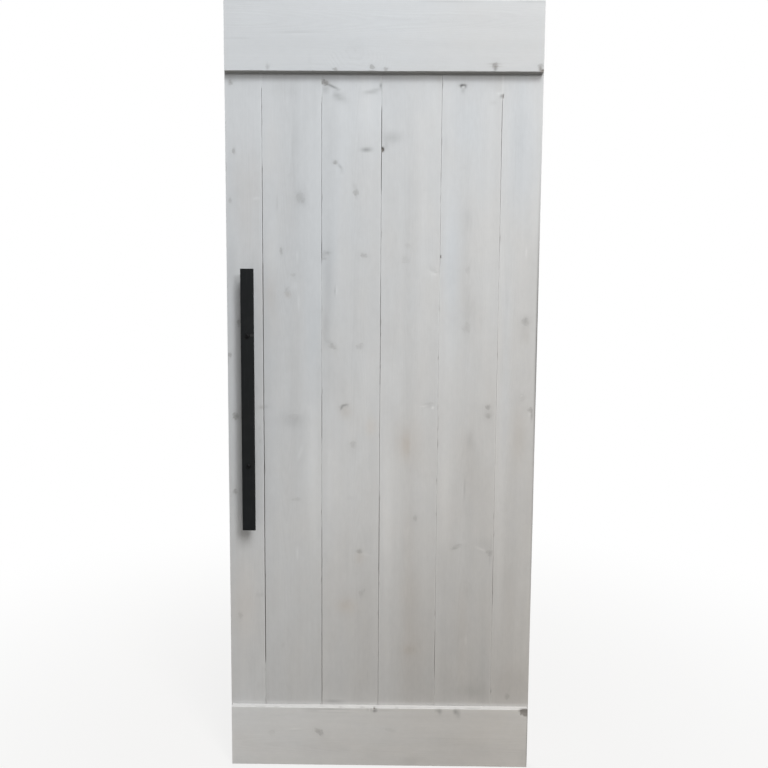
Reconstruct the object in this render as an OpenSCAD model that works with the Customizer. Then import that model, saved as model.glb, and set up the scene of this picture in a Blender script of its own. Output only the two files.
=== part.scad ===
// Leaf of a sliding plank door. Six tongue-and-groove boards are screwed from behind to a top and
// a bottom rail that lie on their faces, and a flat bar pull is bolted through the first board.
// Millimetres. +X is to the right, +Y towards the back, +Z up. The origin is the middle of the
// bottom edge, in the plane where the rails lie on the boards: boards at +Y, rails at -Y.

/* [Leaf] */
// Height of the leaf
leaf_h = 2134; // [1900:1:2440]
// Number of boards left at their full width
full_boards = 4; // [3:1:6]
// Face width of a full board
board_w = 163; // [130:1:180]
// Face width of the board ripped to fit at the left edge
first_board_w = 100; // [96:1:160]
// Face width of the board ripped to fit at the right edge
last_board_w = 110; // [80:1:160]
// Thickness of the boards
board_t = 19; // [17:0.5:24]
// Mean gap that shows between two boards
joint_gap = 0.8; // [0.4:0.1:1.2]
// Radius worn on the edges of the boards
board_ease = 1; // [0.4:0.1:1.5]

/* [Tongue and groove] */
// How far the tongue stands out
tongue_l = 8; // [5:0.5:9]
// Thickness of the tongue
tongue_t = 6; // [4:0.5:7]
// How much thicker the groove is than the tongue
groove_play = 0.4; // [0.2:0.1:0.8]
// How much deeper the groove is than the tongue is long
groove_spare = 0.5; // [0.2:0.1:1]

/* [Rails] */
// Height of the top rail
top_rail_h = 184; // [140:1:240]
// Height of the bottom rail
bottom_rail_h = 174; // [140:1:240]
// Thickness of the rails
rail_t = 19; // [17:0.5:24]
// How far each end of a rail stops short of the leaf's edge
rail_short = 4; // [0:0.5:8]
// Radius worn on the long edges of the rails
rail_ease = 1.5; // [0.4:0.1:2]

/* [Rail screws] */
// Diameter of the screw's shank
screw_d = 4.2; // [3.5:0.1:4.5]
// Length of the screw from its head's face to its tip
screw_l = 32; // [28:1:33]
// Diameter of the countersunk head
screw_head_d = 8.2; // [7.4:0.1:9]
// Distance from a rail's long edge to its nearest row of screws
screw_edge = 45; // [30:1:60]

/* [Pull] */
// Length of the pull's flat bar
pull_h = 725; // [500:1:900]
// Width of the flat bar
pull_w = 36; // [30:1:45]
// Thickness of the flat bar
pull_t = 6; // [5:0.5:8]
// Height of the bar's middle above the bottom of the leaf
pull_z = 1062; // [950:1:1200]
// Distance from the leaf's left edge to the bar's middle
pull_inset = 63; // [40:0.5:70]
// Distance between the two fixings
fixing_pitch = 360; // [200:1:400]
// Length of the standoffs, which is the room behind the bar
standoff_l = 32; // [28:1:36]
// Diameter of the standoffs
standoff_d = 19; // [16:0.5:22]

/* [Pull bolts] */
// Diameter of the bolts
bolt_d = 8; // [6:1:8]
// Diameter of the button head
bolt_head_d = 14; // [13:0.5:16]
// Height of the button head
bolt_head_h = 4.4; // [3.5:0.1:5]
// Size of the hexagonal socket across its flats
socket_af = 5; // [4:0.5:6]
// Diameter of the washer behind the boards
washer_d = 24; // [20:1:28]
// Thickness of the washer
washer_t = 2; // [1.5:0.5:3]
// Size of the nut across its flats
nut_af = 13; // [13:0.5:15]
// Height of the nut
nut_h = 6.8; // [6:0.1:8]

/* [Damage] */
// Height of the chip in the joint between the third and fourth boards
seam_chip_z = 1758; // [1000:1:1850]
// Height that the seam chip shows on the board's face
seam_chip_size = 12; // [6:1:20]
// Size of the chip at the bottom rail's top right corner
corner_chip_size = 22; // [10:1:30]
// Depth of the corner chip
corner_chip_depth = 4; // [2:0.5:8]

/* [Hidden] */
$fn = 64;
// Each joint has opened or closed by its own share as the boards dried.
joint_shares = [1.5, 1, 1.25, 0.5, 0.6];
bolt_clearance = 0.4;
nut_clearance = 0.1;
screw_clearance = 0.1;
head_clearance = 0.4;
screw_sunk = 0.3;
screw_tip_l = 5;
screw_tip_d = 0.8;
screw_recess_w = 0.9;
screw_recess_span = 4.4;
screw_recess_depth = 1.8;
bolt_tail = 4;
bolt_point = 1;
bolt_flat_d = 6.4;
socket_depth = 2.8;
standoff_chamfer = 0.6;
bar_ease = 0.8;
nut_chamfer = 0.9;
seam_chip_depth = 4;
eps = 0.01;
through = 1;

widths = concat([first_board_w], [for (i = [1 : full_boards]) board_w], [last_board_w]);
boards = len(widths);
leaf_w = sum_to(widths, boards);
rail_l = leaf_w - 2 * rail_short;
mid_t = board_t / 2;

pull_x = pull_inset - leaf_w / 2;
bar_back_y = -standoff_l;
bar_front_y = bar_back_y - pull_t;
fixing_z = [pull_z - fixing_pitch / 2, pull_z + fixing_pitch / 2];

top_rail_z = leaf_h - top_rail_h;
screw_rows_top = [top_rail_z + screw_edge, leaf_h - screw_edge];
screw_rows_bottom = [screw_edge, bottom_rail_h - screw_edge];

PLANKS = [for (i = [1 : boards]) str("plank_", i)];

// ---- Sums and places ----

function sum_to(v, n, i = 0) = i >= n ? 0 : v[i] + sum_to(v, n, i + 1);

// X of the joint to the left of board i, counted from 0; the leaf's own edges at both ends
function joint_x(i) = sum_to(widths, i) - leaf_w / 2;

// Gap at the joint to the left of board i, and none at the leaf's edges
function gap(i) = i == 0 || i == boards ? 0 : joint_gap * joint_shares[(i - 1) % len(joint_shares)];

// Two screws a board in each rail, one in each row, a quarter of the width in from each side
function screw_places(i, rows) = [
    [joint_x(i) + widths[i] / 4, rows[1]],
    [joint_x(i + 1) - widths[i] / 4, rows[0]],
];

// ---- Shared shapes ----

// Outline of a rectangle from (x0, y0) to (x1, y1) with each corner worn round to radius r
function worn_rectangle(x0, y0, x1, y1, r) = [
    for (corner = [[x1 - r, y1 - r, 0], [x0 + r, y1 - r, 90], [x0 + r, y0 + r, 180], [x1 - r, y0 + r, 270]])
        for (turn = [0 : 22.5 : 90])
            [corner[0] + r * cos(corner[2] + turn), corner[1] + r * sin(corner[2] + turn)]
];

// Puts its children at (x, y, z) with their own +Z pointing to the front of the leaf
module facing_front(x, y, z) {
    translate([x, y, z])
        rotate([90, 0, 0])
            children();
}

// Hole through the leaf along Y
module cross_hole(x, z, d, y0, y1) {
    facing_front(x, y1, z)
        cylinder(d = d, h = y1 - y0);
}

// A scoop of the given width and depth, out of a flat face at its middle
module scoop(width, depth) {
    r = (width * width / 4 + depth * depth) / (2 * depth);
    translate([0, 0, r - depth])
        sphere(r = r);
}

// ---- Boards ----

module board_section(i) {
    left = joint_x(i) + gap(i) / 2;
    right = joint_x(i + 1) - gap(i + 1) / 2;
    groove_t = tongue_t + groove_play;
    groove_d = tongue_l + groove_spare;
    difference() {
        union() {
            polygon(worn_rectangle(left, 0, right, board_t, board_ease));
            if (i < boards - 1)
                translate([right - through, mid_t - tongue_t / 2])
                    square([tongue_l + through, tongue_t]);
        }
        if (i > 0)
            translate([left - through, mid_t - groove_t / 2])
                square([groove_d + through, groove_t]);
    }
}

module screw_clearance_hole(x, z) {
    cone_h = (screw_head_d - screw_d) / 2;
    cross_hole(x, z, screw_d + screw_clearance, -through, board_t + through);
    facing_front(x, board_t - screw_sunk, z)
        cylinder(d1 = screw_head_d + head_clearance, d2 = screw_d + screw_clearance,
            h = cone_h + head_clearance / 2);
    cross_hole(x, z, screw_head_d + head_clearance, board_t - screw_sunk - eps, board_t + through);
}

module plank(i) {
    color([0.78, 0.78, 0.77])
        difference() {
            linear_extrude(leaf_h)
                board_section(i);
            for (place = concat(screw_places(i, screw_rows_top), screw_places(i, screw_rows_bottom)))
                screw_clearance_hole(place[0], place[1]);
            if (i == 0)
                for (z = fixing_z)
                    cross_hole(pull_x, z, bolt_d + bolt_clearance, -through, board_t + through);
            if (i == 3)
                facing_front(joint_x(i), 0, seam_chip_z)
                    scoop(seam_chip_size, seam_chip_depth);
        }
}

// ---- Rails ----

module rail(z, h) {
    translate([-rail_l / 2, 0, z])
        rotate([90, 0, 90])
            linear_extrude(rail_l)
                polygon(worn_rectangle(-rail_t, 0, 0, h, rail_ease));
}

module pilot_holes(rows) {
    for (i = [0 : boards - 1])
        for (place = screw_places(i, rows))
            cross_hole(place[0], place[1], screw_d + screw_clearance, board_t - screw_l - through, through);
}

module top_rail() {
    color([0.84, 0.84, 0.84])
        difference() {
            rail(top_rail_z, top_rail_h);
            pilot_holes(screw_rows_top);
        }
}

module bottom_rail() {
    color([0.7, 0.69, 0.68])
        difference() {
            rail(0, bottom_rail_h);
            pilot_holes(screw_rows_bottom);
            corner_chip();
        }
}

// A shallow broken corner at the rail's front, top and right
module corner_chip() {
    side = corner_chip_size;
    translate([rail_l / 2, -rail_t, bottom_rail_h])
        rotate([0, 45, 0])
            facing_front(0, 0, 0)
                scoop(side * 1.5, corner_chip_depth);
}

// ---- Rail screws ----

// Countersunk screw with its face at z = 0, pointing along +Z, with a cross recess
module screw() {
    head_r = screw_head_d / 2;
    shank_r = screw_d / 2;
    cone_h = head_r - shank_r;
    difference() {
        rotate_extrude()
            polygon([
                [0, 0],
                [head_r, 0],
                [shank_r, cone_h],
                [shank_r, screw_l - screw_tip_l],
                [screw_tip_d / 2, screw_l],
                [0, screw_l],
            ]);
        for (turn = [0, 90])
            rotate(turn)
                translate([-screw_recess_span / 2, -screw_recess_w / 2, -through])
                    cube([screw_recess_span, screw_recess_w, screw_recess_depth + through]);
    }
}

module rail_screws(rows) {
    color([0.45, 0.44, 0.4])
        for (i = [0 : boards - 1])
            for (place = screw_places(i, rows))
                facing_front(place[0], board_t - screw_sunk, place[1])
                    screw();
}

module top_rail_screws() {
    rail_screws(screw_rows_top);
}

module bottom_rail_screws() {
    rail_screws(screw_rows_bottom);
}

// ---- Pull ----

module pull_bar() {
    color([0.12, 0.12, 0.13])
        difference() {
            translate([0, 0, pull_z - pull_h / 2])
                linear_extrude(pull_h)
                    polygon(worn_rectangle(pull_x - pull_w / 2, bar_front_y,
                        pull_x + pull_w / 2, bar_back_y, bar_ease));
            for (z = fixing_z)
                cross_hole(pull_x, z, bolt_d + bolt_clearance, bar_front_y - through, bar_back_y + through);
        }
}

module standoff(z) {
    outer = standoff_d / 2;
    bore = (bolt_d + bolt_clearance) / 2;
    color([0.1, 0.1, 0.11])
        facing_front(pull_x, 0, z)
            rotate_extrude()
                polygon([
                    [bore, 0],
                    [outer - standoff_chamfer, 0],
                    [outer, standoff_chamfer],
                    [outer, standoff_l - standoff_chamfer],
                    [outer - standoff_chamfer, standoff_l],
                    [bore, standoff_l],
                ]);
}

module upper_standoff() {
    standoff(fixing_z[1]);
}

module lower_standoff() {
    standoff(fixing_z[0]);
}

// ---- Pull bolts ----

// Domed head standing on z = 0, cut flat at the top, over a sphere that meets the head's rim
module button_head() {
    rim = bolt_head_d / 2;
    flat = bolt_flat_d / 2;
    drop = (rim * rim - flat * flat - bolt_head_h * bolt_head_h) / (2 * bolt_head_h);
    difference() {
        intersection() {
            cylinder(d = bolt_head_d, h = bolt_head_h);
            translate([0, 0, -drop])
                sphere(r = sqrt(rim * rim + drop * drop));
        }
        translate([0, 0, bolt_head_h - socket_depth])
            cylinder(d = socket_af / cos(30), h = socket_depth + through, $fn = 6);
    }
}

module bolt(z) {
    shank_l = pull_t + standoff_l + board_t + washer_t + nut_h + bolt_tail;
    r = bolt_d / 2;
    color([0.08, 0.08, 0.09])
        facing_front(pull_x, bar_front_y, z)
            union() {
                button_head();
                translate([0, 0, -shank_l])
                    rotate_extrude()
                        polygon([
                            [0, 0],
                            [r - bolt_point, 0],
                            [r, bolt_point],
                            [r, shank_l + eps],
                            [0, shank_l + eps],
                        ]);
            }
}

module upper_bolt() {
    bolt(fixing_z[1]);
}

module lower_bolt() {
    bolt(fixing_z[0]);
}

module washer(z) {
    color([0.6, 0.6, 0.6])
        facing_front(pull_x, board_t + washer_t, z)
            difference() {
                cylinder(d = washer_d, h = washer_t);
                translate([0, 0, -through])
                    cylinder(d = bolt_d + bolt_clearance, h = washer_t + 2 * through);
            }
}

module upper_washer() {
    washer(fixing_z[1]);
}

module lower_washer() {
    washer(fixing_z[0]);
}

module nut(z) {
    corner_r = nut_af / 2 / cos(30);
    flat_r = nut_af / 2;
    color([0.62, 0.62, 0.62])
        facing_front(pull_x, board_t + washer_t + nut_h, z)
            difference() {
                intersection() {
                    cylinder(r = corner_r, h = nut_h, $fn = 6);
                    rotate_extrude()
                        polygon([
                            [0, 0],
                            [flat_r, 0],
                            [corner_r + eps, nut_chamfer],
                            [corner_r + eps, nut_h],
                            [0, nut_h],
                        ]);
                }
                translate([0, 0, -through])
                    cylinder(d = bolt_d + nut_clearance, h = nut_h + 2 * through);
            }
}

module upper_nut() {
    nut(fixing_z[1]);
}

module lower_nut() {
    nut(fixing_z[0]);
}

// ---- The leaf ----

for (i = [0 : boards - 1])
    plank(i);
top_rail();
bottom_rail();
top_rail_screws();
bottom_rail_screws();
pull_bar();
upper_standoff();
lower_standoff();
upper_bolt();
lower_bolt();
upper_washer();
lower_washer();
upper_nut();
lower_nut();
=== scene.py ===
"""Looks of a sliding plank door leaf: whitewashed knotty boards between two rails, a black bar
pull, a pale floor, soft light and a camera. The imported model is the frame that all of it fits."""

import math
from collections import namedtuple

import bpy
import numpy as np
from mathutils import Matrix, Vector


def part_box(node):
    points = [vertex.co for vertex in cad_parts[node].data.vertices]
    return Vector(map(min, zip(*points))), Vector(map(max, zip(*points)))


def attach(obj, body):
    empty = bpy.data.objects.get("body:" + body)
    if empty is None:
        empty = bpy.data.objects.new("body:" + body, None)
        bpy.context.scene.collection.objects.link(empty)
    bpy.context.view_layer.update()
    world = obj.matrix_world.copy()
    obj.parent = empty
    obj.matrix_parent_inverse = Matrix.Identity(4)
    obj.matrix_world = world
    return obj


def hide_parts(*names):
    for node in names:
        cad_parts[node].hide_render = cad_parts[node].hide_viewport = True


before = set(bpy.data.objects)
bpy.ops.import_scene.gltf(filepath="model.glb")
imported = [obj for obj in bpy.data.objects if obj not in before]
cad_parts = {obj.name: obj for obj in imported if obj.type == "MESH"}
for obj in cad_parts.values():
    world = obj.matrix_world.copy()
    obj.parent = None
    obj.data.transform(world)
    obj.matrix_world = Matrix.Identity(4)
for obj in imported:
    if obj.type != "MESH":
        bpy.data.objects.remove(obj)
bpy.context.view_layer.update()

MM = 0.001

# ---- Camera: in front of the leaf, a little right of its middle, tipped slightly down ----

LENS = 32.8
CAMERA_PLACE = (0.022, -1.950, 1.275)
PITCH_DOWN, TURN_LEFT, ROLL = 4.825, 0.495, -0.40


def add_camera():
    data = bpy.data.cameras.new("camera")
    data.lens = LENS
    camera = bpy.data.objects.new("camera", data)
    camera.location = CAMERA_PLACE
    camera.rotation_euler = [math.radians(a) for a in (90 - PITCH_DOWN, ROLL, TURN_LEFT)]
    bpy.context.scene.collection.objects.link(camera)
    bpy.context.scene.camera = camera


add_camera()

# ---- What the wood is like: all sizes in millimetres, x and z in the frame of the part ----

# The tree behind a board's face. middle is how far the pith lies to the right of the board's
# middle, or below a rail's, and deep how far it lies behind the face. ring is the width of a
# year's growth, taper the rings gained in a metre along the stick, and cup how far its edges
# have bent back or, below 0, its middle. tone is how much paler than the rest the stick is and
# patchy how unevenly it took the wash.
Grain = namedtuple("Grain", "middle deep ring taper cup tone patchy", defaults=(1.0,))

# A knot: its middle, half sizes, turn anticlockwise in degrees, and how dark it shows. Those of
# each stick are listed from the top down, and so are its marks.
Knot = namedtuple("Knot", "x z wide tall turn dark")

# A soft-edged mark, with its size as a knot's. dark above 0 is dirt and below 0 thick wash, but the
# marks so noted are painted shade; warm above 0 is a brown stain and below 0 a cooler wash.
Mark = namedtuple("Mark", "x z wide tall turn dark warm", defaults=(0, 0.1, 0))

# A piece of the face broken away: its middle, half sizes and depth.
Chip = namedtuple("Chip", "x z wide tall deep")

GRAINS = {
    "plank_1": Grain(30, 34, 2.9, 7, 0.10, -0.012),
    "plank_2": Grain(-14, 26, 3.4, -9, 0.35, -0.025),
    "plank_3": Grain(22, 30, 3.1, 8, -0.20, -0.004),
    "plank_4": Grain(-6, 22, 3.8, -11, 0.30, 0.004),
    "plank_5": Grain(4, 28, 3.2, 10, -0.25, 0.0),
    "plank_6": Grain(-34, 36, 2.8, -6, 0.15, 0.018),
    "top_rail": Grain(-40, 40, 3.3, 9, 0.20, -0.03, 0.6),
    "bottom_rail": Grain(28, 30, 3.5, -8, 0.25, 0.20),
}

KNOTS = {
    "plank_1": [
        Knot(-415, 1925, 6, 6, 0, 0.5),
        Knot(-408, 1744, 4, 8, 0, 0.45),
        Knot(-420, 1612, 4, 7, 10, 0.35),
        Knot(-399, 1279, 5, 9, -10, 0.45),
        Knot(-424, 1189, 5, 6, 0, 0.5),
        Knot(-410, 1016, 8, 9, 15, 0.6),
        Knot(-414, 800, 6, 7, 0, 0.5),
        Knot(-403, 438, 6, 9, 0, 0.2),
        Knot(-352, 225, 6, 8, 0, 0.05),
    ],
    "plank_2": [
        Knot(-251, 1682, 7, 6, 10, 0.03),
        Knot(-226, 1621, 12, 13, 10, 0.26),
        Knot(-280, 1476, 4, 9, 0, 0.42),
        Knot(-248, 1411, 8, 4, 0, 0.2),
        Knot(-263, 1361, 8, 11, 20, 0.2),
        Knot(-244, 1017, 13, 8, 0, 0.16),
        Knot(-238, 780, 12, 5, 5, 0.18),
        Knot(-280, 351, 4, 7, 0, 0.12),
    ],
    "plank_3": [
        Knot(-159, 1926, 11, 7, -15, 0.8),
        Knot(-131, 1716, 6, 5, 0, 0.6),
        Knot(-74, 1635, 7, 8, 0, 0.4),
        Knot(-158, 1470, 9, 8, 20, 0.2),
        Knot(-52, 1465, 10, 6, -20, 0.35),
        Knot(-61, 1215, 11, 7, 25, 0.25),
        Knot(-138, 1214, 11, 6, -20, 0.32),
        Knot(-105, 1045, 12, 8, 15, 0.16),
        Knot(-80, 938, 8, 9, -10, 0.25),
        Knot(-88, 785, 12, 6, 0, 0.06),
        Knot(-61, 630, 8, 6, -8, 0.46),
        Knot(-54, 508, 7, 12, -20, 0.2),
        Knot(-95, 478, 12, 12, 0, 0.04),
    ],
    "plank_4": [
        Knot(68, 1492, 8, 6, 0, 0.12),
        Knot(62, 1454, 10, 9, 20, 0.14),
        Knot(143, 1427, 12, 8, -15, 0.10),
        Knot(133, 1052, 14, 7, 5, 0.12),
        Knot(97, 729, 5, 8, 0, 0.28),
        Knot(86, 340, 12, 10, 15, 0.05),
    ],
    "plank_5": [
        Knot(215, 1918, 9, 7, 0, 0.3),
        Knot(235, 1427, 6, 9, 0, 0.14),
        Knot(234, 1268, 10, 14, 0, 0.16),
        Knot(298, 1047, 7, 6, 10, 0.45),
        Knot(299, 1022, 8, 7, 0, 0.34),
        Knot(217, 647, 12, 6, 20, 0.2),
        Knot(311, 629, 10, 8, -30, 0.34),
        Knot(250, 520, 12, 22, 0, 0.07),
    ],
    "plank_6": [
        Knot(397, 1287, 9, 10, 0, 0.38),
        Knot(394, 1075, 9, 9, 0, 0.12),
        Knot(416, 1040, 7, 7, 0, 0.4),
        Knot(352, 760, 8, 12, 0, 0.04),
        Knot(369, 203, 6, 8, 0, 0.3),
    ],
    "top_rail": [
        Knot(-75, 2005, 22, 26, 0, 0.05),
        Knot(297, 1964, 7, 8, 0, 0.7),
        Knot(417, 1964, 6, 6, 0, 0.4),
        Knot(-310, 1961, 6, 5, 20, 0.2),
        Knot(-32, 1961, 6, 5, -30, 0.55),
        Knot(5, 1955, 6, 4, 0, 0.55),
        Knot(-130, 1954, 6, 4, 0, 0.6),
    ],
    "bottom_rail": [
        Knot(-11, 168, 5, 5, 0, 0.4),
        Knot(32, 108, 14, 5, -18, 0.12),
        Knot(-174, 101, 14, 7, -42, 0.42),
        Knot(-312, 97, 9, 7, 0, 0.1),
    ],
}

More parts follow.
